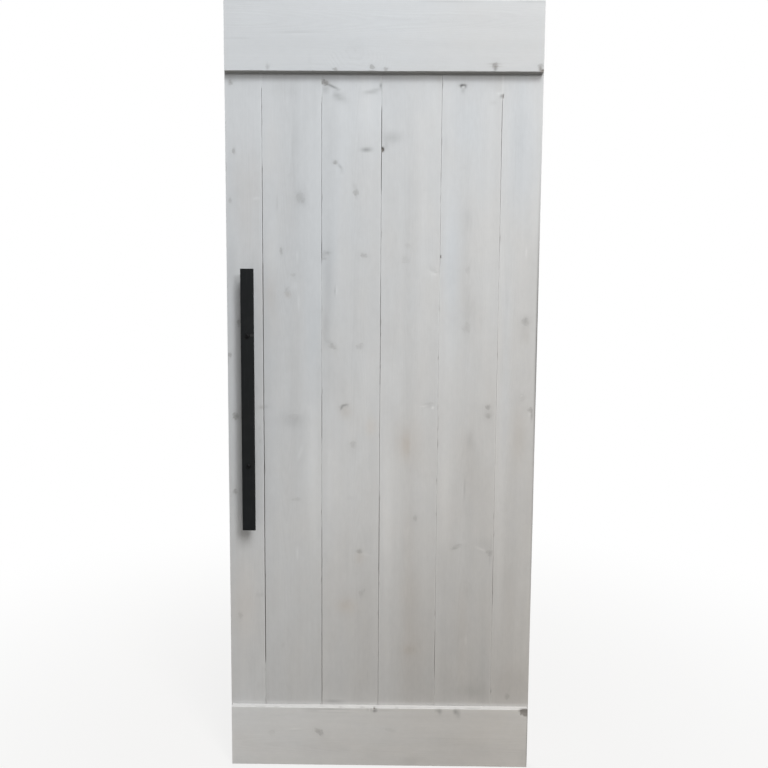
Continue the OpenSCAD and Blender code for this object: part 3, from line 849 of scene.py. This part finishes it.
def place_on_mesh(name, points, faces):
    """A mesh object at the origin from points in mm, smooth but for edges sharper than SHARP_FROM."""
    mesh = bpy.data.meshes.new(name)
    mesh.from_pydata(points * MM, [], faces)
    mesh.polygons.foreach_set("use_smooth", [True] * len(mesh.polygons))
    mesh.set_sharp_from_angle(angle=SHARP_FROM)
    mesh.validate()
    piece = bpy.data.objects.new(name, mesh)
    bpy.context.scene.collection.objects.link(piece)
    return piece


def tube_faces(rows, columns):
    """Quads between the rows of a closed loop of columns, and one face to close each end."""
    first = (np.arange(rows - 1) * columns)[:, None] + np.arange(columns)
    following = (np.arange(rows - 1) * columns)[:, None] + (np.arange(columns) + 1) % columns
    quads = np.stack([first, following, following + columns, first + columns], 2).reshape(-1, 4)
    ends = [list(range(columns))[::-1], list(range((rows - 1) * columns, rows * columns))]
    return quads.tolist() + ends


def add_values(piece, **fields):
    """Stores one number a vertex under each name, for the materials to read."""
    for name, field in fields.items():
        layer = piece.data.attributes.new(name, "FLOAT", "POINT")
        layer.data.foreach_set("value", np.ascontiguousarray(field, np.float32).ravel())


def build_stick(stick):
    """The visible board or rail, with its grain, knots, marks and bare wood stored on it."""
    across, depth, along = stick_surface(stick)
    x, z = stick.to_part(across, along)
    points = np.stack([x, depth, z], 2).reshape(-1, 3)
    piece = place_on_mesh(f"washed_{stick.node}", points, tube_faces(*x.shape))
    inside = depth - stick.front
    facing = smooth_step(stick.thick * 0.6, stick.thick * 0.4, inside)
    reach, dark = nearest_knot(stick, x, z)
    lost = broken(stick, x, z) / 2 + nicks(stick, across, along) / 2
    add_values(
        piece,
        rings=growth_rings(stick, across, inside, along),
        reach=reach,
        knot=dark * (0.45 + 0.55 * facing),
        stain=stains(stick.marks + BROAD_TONE_AND_PAINTED_SHADE, x, z, "dark") * facing,
        warm=stains(stick.marks, x, z, "warm") * facing,
        bare=np.clip(facing * lost + in_joint(stick, across, inside), 0, 1),
    )
    return piece


# ---- The pull's bar ----

BAR_EASE = 0.9
BAR_ROWS = 30


def build_bar():
    """A flat bar as a stack of rounded rectangles: at each end the rectangle shrinks along a
    quarter circle, so that all of its edges are eased alike."""
    low, high = (np.array(corner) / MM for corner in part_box("pull_bar"))
    swing = np.radians(np.linspace(0, 90, 7))
    inset = BAR_EASE * (1 - np.sin(swing))
    rise = BAR_EASE * (1 - np.cos(swing))
    middle = np.linspace(low[2] + 12, high[2] - 12, BAR_ROWS)
    heights = np.concatenate([low[2] + rise, middle, (high[2] - rise)[::-1]])
    insets = np.concatenate([inset, np.zeros(len(middle)), inset[::-1]])
    rows = []
    for height, inner in zip(heights, insets):
        radius = max(BAR_EASE - inner, 0.02)
        x0, y0, x1, y1 = low[0] + inner, low[1] + inner, high[0] - inner, high[1] - inner
        corners = [(x0, y0, 180), (x1, y0, 270), (x1, y1, 0), (x0, y1, 90)]
        arcs = []
        for x, y, first in corners:
            middle_x = x + math.copysign(radius, high[0] + low[0] - 2 * x)
            middle_y = y + math.copysign(radius, high[1] + low[1] - 2 * y)
            arcs.append(quarter((middle_x, middle_y), radius, first))
        loop = np.concatenate(arcs)
        rows.append(np.column_stack([loop, np.full(len(loop), height)]))
    points = np.array(rows)
    return place_on_mesh("coated_pull_bar", points.reshape(-1, 3), tube_faces(*points.shape[:2]))


# ---- Shader maths ----


class Value:
    """One output of a shader node. Arithmetic on it, with numbers or other values, adds Math nodes."""

    def __init__(self, net, socket):
        self.net, self.socket = net, socket

    def __add__(self, other):
        return self.net.math("ADD", self, other)

    def __sub__(self, other):
        return self.net.math("SUBTRACT", self, other)

    def __rsub__(self, other):
        return self.net.math("SUBTRACT", other, self)

    def __mul__(self, other):
        return self.net.math("MULTIPLY", self, other)

    def __truediv__(self, other):
        return self.net.math("DIVIDE", self, other)

    __radd__, __rmul__ = __add__, __mul__


class Net:
    """The node tree of one material, or of the world. What its nodes give are Values."""

    def __init__(self, name, owner=None):
        self.owner = owner or bpy.data.materials.new(name)
        self.owner.use_nodes = True
        self.tree = self.owner.node_tree
        self.tree.nodes.clear()

    def node(self, kind, settings=None, sockets=None, out=0):
        """Adds a node of any kind: its settings first, then the values or links of its sockets."""
        made = self.tree.nodes.new("ShaderNode" + kind)
        for name, setting in (settings or {}).items():
            setattr(made, name, setting)
        for name, value in (sockets or {}).items():
            if isinstance(value, Value):
                self.tree.links.new(value.socket, made.inputs[name])
            else:
                made.inputs[name].default_value = value
        return Value(self, made.outputs[out]) if len(made.outputs) else made

    def math(self, operation, *values):
        return self.node("Math", {"operation": operation}, dict(enumerate(values)))

    def attribute(self, name):
        return self.node("Attribute", {"attribute_name": name}, out="Fac")

    def step(self, value, low, high):
        """0 below low, 1 above high, smooth between; low may be the larger."""
        flip = low > high
        low, high = min(low, high), max(low, high)
        ends = {"To Min": 1.0, "To Max": 0.0} if flip else {"To Min": 0.0, "To Max": 1.0}
        sockets = {"Value": value, "From Min": low, "From Max": high, **ends}
        return self.node("MapRange", {"interpolation_type": "SMOOTHSTEP"}, sockets)

    def mix(self, factor, a, b, blend="MIX"):
        """Colour a, turned to colour b by the factor. The node's sockets go by number, because
        their names repeat for each kind of value."""
        settings = {"data_type": "RGBA", "blend_type": blend}
        return self.node("Mix", settings, {0: factor, 6: a, 7: b}, out=2)

    def noise(self, place, detail=2.0, roughness=0.5, distortion=0.0):
        sockets = {"Vector": place, "Scale": 1.0, "Detail": detail, "Roughness": roughness}
        return self.node("TexNoise", None, {**sockets, "Distortion": distortion}, out="Fac")

    def scaled(self, place, factor):
        return self.node("VectorMath", {"operation": "SCALE"}, {0: place, "Scale": factor})

    def bump(self, height):
        """A normal from a height in millimetres."""
        sockets = {"Height": height, "Distance": MM, "Strength": 1.0}
        return self.node("Bump", None, sockets, out="Normal")

    def surface(self, **sockets):
        """The Principled shader, linked to the material's output. An underscore stands for a space."""
        named = {name.replace("_", " "): value for name, value in sockets.items()}
        shader = self.node("BsdfPrincipled", None, named)
        self.node("OutputMaterial", None, {"Surface": shader})
        return self.owner


def parts_of(net, vector):
    return [net.node("SeparateXYZ", None, {"Vector": vector}, out=axis) for axis in "XYZ"]


# ---- Materials ----

WASH_COOL = (0.547, 0.565, 0.584, 1)
WASH_WARM = (0.590, 0.563, 0.531, 1)
BARE_WOOD = (0.175, 0.158, 0.140, 1)
KNOT_WOOD = (0.125, 0.112, 0.100, 1)
WARM_STAIN = (0.46, 0.33, 0.24, 1)
END_GRAIN = (0.30, 0.27, 0.235, 1)
# Painted shade for the faces under the rails, and a painted highlight for the faces on top of them.
PAINTED_UNDERSIDE_SHADE = (0.25, 0.245, 0.235, 1)
PAINTED_TOP_LIGHT = (0.74, 0.73, 0.72, 1)
COAT_BLACK = (0.0105, 0.0115, 0.012, 1)
COAT_DUSTY = (0.020, 0.021, 0.0215, 1)
COAT_PAINTED_GLINT = (0.036, 0.036, 0.036, 1)
OXIDE_BLACK = (0.003, 0.003, 0.0032, 1)
OXIDE_RUBBED = (0.008, 0.008, 0.0078, 1)
ZINC_BRIGHT = (0.50, 0.50, 0.49, 1)
ZINC_DULL = (0.36, 0.36, 0.34, 1)
RUST = (0.20, 0.10, 0.05, 1)

# The heights in metres of the top rail's lower edge and of the bottom rail's upper edge.
UNDER_TOP, OVER_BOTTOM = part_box("top_rail")[0][2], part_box("bottom_rail")[1][2]


def whitewash(stick):
    """Thin grey-white wash on softwood. The rings, fibres and brush strokes run along the stick;
    what shows through is set by the values stored on its mesh. The faces under the rails and the boards
    just below the top rail carry painted shade, and the faces on top of the rails and the boards just above
    the bottom rail a painted highlight."""
    net = Net(f"whitewash_{stick.node}")
    place = net.node("TexCoord", out="Object")
    x, y, z = parts_of(net, place)
    across, along = (z * -1, x) if stick.lies else (x, z)

    def streaks(wide, tall, detail=2.0, **shape):
        """Noise with cells wide by tall mm, across and along the grain."""
        spots = {0: across * (1000 / wide), 1: y * (1000 / wide), 2: along * (1000 / tall) + stick.seed}
        return net.noise(net.node("CombineXYZ", None, spots), detail, **shape)

    fibres = streaks(0.7, 26, 3.0, roughness=0.6)
    brush = streaks(2.6, 240, 3.0, roughness=0.65)
    bands = streaks(45, 1500, 1.0, distortion=0.2)
    strokes = streaks(19, 420, 2.0, distortion=0.3)
    dabs = streaks(10, 22, 2.0)
    patches = streaks(40, 70, 3.0)
    hue = streaks(70, 160, 2.0)
    blotch = streaks(6, 8, 3.0, roughness=0.6)
    lines = streaks(1.7, 75, 1.0)
    pores = net.step(streaks(0.45, 7, 1.0), 0.30, 0.22)

    phase = net.math("FRACT", net.attribute("rings") + (streaks(7, 90) - 0.5) * 0.5)
    late = net.step(phase, 0.3, 0.86) * net.step(phase, 1.0, 0.93)
    knot, bare = net.attribute("knot"), net.attribute("bare")

    # A knot: a soft uneven patch, darkest at its heart, an arc of its rim and a faint surround.
    reach = net.attribute("reach") + (blotch - 0.5) * 1.0
    sides = net.step(streaks(8, 10, 1.0), 0.45, 0.60)
    patch = net.step(reach, 1.55, 0.0) * (0.45 + blotch * 0.75)
    rim = net.step(reach, 0.5, 0.9) * net.step(reach, 1.35, 0.95) * sides * 0.45
    surround = net.step(reach, 3.2, 0.8) * 0.10
    knotty = knot * (patch + rim + surround)

    # The end grain: rings counted straight from the pith.
    turned = parts_of(net, net.node("NewGeometry", out="True Normal"))
    end = net.step(net.math("ABSOLUTE", turned[0 if stick.lies else 2]), 0.75, 0.9)
    pith = (stick.middle + stick.grain.middle) * MM
    behind = (stick.front + stick.grain.deep) * MM
    away = net.math("SQRT", (across - pith) * (across - pith) + (y - behind) * (y - behind))
    end_phase = net.math("FRACT", away / (stick.grain.ring * MM) + (patches - 0.5))
    end_late = net.step(end_phase, 0.2, 0.86) * net.step(end_phase, 1.0, 0.93)

    # The wash: warmer to the right and lower down, a painted warm bounce from below against cooler
    # light from above; lighter along the long edges, partly thicker wash and partly a painted highlight
    # where the eased edges catch the light; uneven by the brush, and crossed by fine pale and dark lines
    # that run with the grain.
    # Painted light: the warm tint towards the bottom right stands in for warm bounce from the floor, over
    # the stains' own warmth.
    warmth_and_painted_bounce = 0.80 + x * 0.65 - z * 0.38 + (hue - 0.5) * 0.35 + net.attribute("warm") * 10
    warmth_and_painted_bounce = net.math("MINIMUM", net.math("MAXIMUM", warmth_and_painted_bounce, 0.0), 1.0)
    wash = net.mix(warmth_and_painted_bounce, WASH_COOL, WASH_WARM)
    aside = net.math("MINIMUM", across - stick.low * MM, stick.high * MM - across)
    # Lighter within a few mm of the long edges: thicker wash, and a painted highlight on the eased edges.
    edge_wash_and_highlight = net.step(aside, 0.0045, 0.0) * 0.07
    uneven_wash = ((bands - 0.5) * 0.13 + (strokes - 0.5) * 0.06 + (brush - 0.5) * 0.05
                   + (patches - 0.5) * 0.10 + (dabs - 0.5) * 0.07 + (fibres - 0.5) * 0.03)
    pale_lines, dark_lines = net.step(lines, 0.70, 0.80) * 0.04, net.step(lines, 0.30, 0.20) * 0.04
    tone = (1 + stick.grain.tone - net.attribute("stain") + edge_wash_and_highlight
            + uneven_wash * stick.grain.patchy + pale_lines - dark_lines)
    tone_colour = net.node("CombineColor", None, {0: tone, 1: tone, 2: tone})
    colour = net.mix(1.0, wash, tone_colour, "MULTIPLY")

    # What shows through the wash: late wood, pores and bare wood, then brown stains, then knots.
    shows = 0.02 + late * (0.01 + bands * 0.03) + pores * 0.08 + bare * 0.85
    colour = net.mix(net.math("MINIMUM", shows, 1.0), colour, BARE_WOOD)
    colour = net.mix(net.attribute("warm") * 2.0, colour, WARM_STAIN)
    grainy = knotty * (0.9 + (fibres - 0.5) * 0.7)
    colour = net.mix(net.math("MINIMUM", grainy, 0.9), colour, KNOT_WOOD)

    # Painted shade under the rails and on the boards just below the top rail, and a painted highlight on
    # top of the rails and on the boards just above the bottom one.
    if stick.lies:
        colour = net.mix(net.step(turned[2], -0.6, -0.9) * 0.9, colour, PAINTED_UNDERSIDE_SHADE)
        colour = net.mix(net.step(turned[2], 0.6, 0.9) * 0.6, colour, PAINTED_TOP_LIGHT)
    else:
        ahead = net.step(y, (stick.front + 10) * MM, (stick.front + 7) * MM)
        shade_under_top_rail = ahead * net.step(z, UNDER_TOP - 0.014, UNDER_TOP + 0.004) * 0.55
        light_over_bottom_rail = ahead * net.step(z, OVER_BOTTOM + 0.012, OVER_BOTTOM) * 0.4
        colour = net.mix(light_over_bottom_rail, net.mix(shade_under_top_rail, colour, PAINTED_UNDERSIDE_SHADE), PAINTED_TOP_LIGHT)
    colour = net.mix(end * (0.62 + end_late * 0.3), colour, END_GRAIN)

    height = late * 0.03 + fibres * 0.10 + brush * 0.12 - pores * 0.08 + patches * 0.2 - rim * knot * 0.3
    return net.surface(
        Base_Color=colour,
        Roughness=0.66 - late * 0.06 + knotty * 0.1 + (patches - 0.5) * 0.12,
        Normal=net.bump(height),
    )


def powder_coat(glint_at):
    """Black coating with a fine texture like orange peel, dusty in places, with faint runs down it
    and a painted highlight, a paler streak just to the right of a fixing."""
    net = Net("black_powder_coat")
    place = net.node("TexCoord", out="Object")
    x, _, z = parts_of(net, place)
    peel, dust = net.noise(net.scaled(place, 1000 / 1.1)), net.noise(net.scaled(place, 1000 / 34), 4.0)
    runs = net.noise(net.node("CombineXYZ", None, {0: x * 330, 1: z * 11}))
    pale = net.step(dust, 0.45, 0.75) * 0.35 + net.step(runs, 0.56, 0.72) * 0.5
    # A painted highlight: a short pale streak just right of the upper fixing, where light glints.
    glint_x, _, glint_z = (value * MM for value in glint_at)
    level = net.step(net.math("ABSOLUTE", z - (glint_z + 0.002)), 0.005, 0.001)
    lighter_patch = level * net.step(x, glint_x + 0.005, glint_x + 0.009) * (0.3 + dust)
    colour = net.mix(pale, COAT_BLACK, COAT_DUSTY)
    colour = net.mix(net.math("MINIMUM", lighter_patch, 1.0), colour, COAT_PAINTED_GLINT)
    return net.surface(
        Base_Color=colour,
        Roughness=0.55 + (dust - 0.5) * 0.16,
        Normal=net.bump(peel * 0.05),
        Specular_IOR_Level=0.08,
    )


def black_oxide():
    """Oiled black steel, blacker than the coating, with rubbed lighter patches."""
    net = Net("black_oxide")
    lighter_patch = net.noise(net.scaled(net.node("TexCoord", out="Object"), 260.0), 3.0)
    return net.surface(
        Base_Color=net.mix(net.step(lighter_patch, 0.5, 0.72), OXIDE_BLACK, OXIDE_RUBBED),
        Roughness=0.5 + (lighter_patch - 0.5) * 0.3,
        Normal=net.bump(lighter_patch * 0.02),
        Specular_IOR_Level=0.12,
    )


def zinc_plate():
    """Dull zinc with cloudy patches and a little white corrosion and rust."""
    net = Net("zinc_plate")
    place = net.node("TexCoord", out="Object")
    blotch, speck, spots = (net.noise(net.scaled(place, 1000 / size), 3.0) for size in (6, 1.3, 9))
    dull = net.step(blotch, 0.5, 0.7)
    rust = net.step(spots, 0.62, 0.72)
    return net.surface(
        Base_Color=net.mix(rust * 0.6, net.mix(dull, ZINC_BRIGHT, ZINC_DULL), RUST),
        Metallic=0.9 - rust * 0.7 - dull * 0.2,
        Roughness=0.38 + dull * 0.16 + rust * 0.25,
        Normal=net.bump(speck * 0.03 + blotch * 0.02),
    )


# ---- Putting the leaf together ----


def dress(piece, material, node=None):
    """Gives a piece its material; a new piece also rides on the leaf and replaces its CAD node."""
    piece.data.materials.clear()
    piece.data.materials.append(material)
    if node:
        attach(piece, "root")
        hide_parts(node)


for stick in sticks:
    dress(build_stick(stick), whitewash(stick), stick.node)

black = powder_coat(bolts[0])
dress(build_bar(), black, "pull_bar")
bolt_black, zinc = black_oxide(), zinc_plate()
for which in ("upper", "lower"):
    dress(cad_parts[f"{which}_standoff"], black)
    dress(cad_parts[f"{which}_bolt"], bolt_black)
    dress(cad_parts[f"{which}_washer"], zinc)
    dress(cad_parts[f"{which}_nut"], zinc)
for name in ("top_rail_screws", "bottom_rail_screws"):
    dress(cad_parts[name], zinc)

# ---- Floor, light and background ----

FLOOR_HALF = 9.0
FLOOR_COLOUR = (0.48, 0.46, 0.43, 1)


def seen_directly(net):
    """1 for rays from the camera and for those that glossy or clear surfaces send on."""
    kinds = ("Is Camera Ray", "Is Glossy Ray", "Is Transmission Ray")
    camera, glossy, clear = (net.node("LightPath", out=kind) for kind in kinds)
    return net.math("MINIMUM", camera + glossy + clear, 1.0)


def add_floor():
    """A pale square under the leaf. To the eye it whitens with distance, and keeps its shadow."""
    half = FLOOR_HALF
    corners = [(-half, -half, 0), (half, -half, 0), (half, half, 0), (-half, half, 0)]
    mesh = bpy.data.meshes.new("floor")
    mesh.from_pydata(corners, [], [(0, 1, 2, 3)])
    floor = bpy.data.objects.new("floor", mesh)
    bpy.context.scene.collection.objects.link(floor)
    net = Net("pale_floor")
    x, y, _ = parts_of(net, net.node("TexCoord", out="Object"))
    far = net.step(net.math("SQRT", x * x + y * y), 0.3, 2.6)
    pale = net.node("BsdfDiffuse", None, {"Color": FLOOR_COLOUR})
    white = net.node("Emission", None, {"Color": (1, 1, 1, 1), "Strength": 1.0})
    whiteness = seen_directly(net) * (0.8 + far * 0.2)
    shader = net.node("MixShader", None, {0: whiteness, 1: pale, 2: white})
    net.node("OutputMaterial", None, {"Surface": shader})
    mesh.materials.append(net.owner)


def add_world(level):
    """Even white light of the given level, and a plain white background."""
    world = bpy.data.worlds.new("studio")
    bpy.context.scene.world = world
    net = Net("studio", world)
    strength = level + seen_directly(net) * (1 - level)
    background = net.node("Background", None, {"Color": (1, 1, 1, 1), "Strength": strength})
    net.node("OutputWorld", None, {"Surface": background})


def add_lamp(name, place, aim, size, power, colour=(1, 1, 1)):
    """A square lamp at a place, turned to face another, with its side in metres and its power in
    watts."""
    data = bpy.data.lights.new(name, "AREA")
    data.size, data.energy, data.color = size, power, colour
    lamp = bpy.data.objects.new(name, data)
    lamp.location = place
    towards = np.array(aim) - np.array(place)
    tilt = math.atan2(math.hypot(towards[0], towards[1]), -towards[2])
    lamp.rotation_euler = (tilt, 0, math.atan2(-towards[0], towards[1]))
    bpy.context.scene.collection.objects.link(lamp)


add_floor()
add_world(level=0.20)
add_lamp("key", place=(1.15, -2.3, 2.5), aim=(-0.1, 0, 1.1), size=0.6, power=25.3)
add_lamp("overhead", place=(1.5, -3.4, 5.3), aim=(0, 0, 1.0), size=2.0, power=178, colour=(0.97, 0.99, 1.0))
add_lamp("near_overhead", place=(0.1, -0.9, 3.6), aim=(0, -0.2, 0.6), size=1.6, power=14)
add_lamp("behind", place=(-0.8, 3.0, 4.0), aim=(0, 0, 1.0), size=2.0, power=130)
bpy.context.scene.view_settings.view_transform = "Standard"
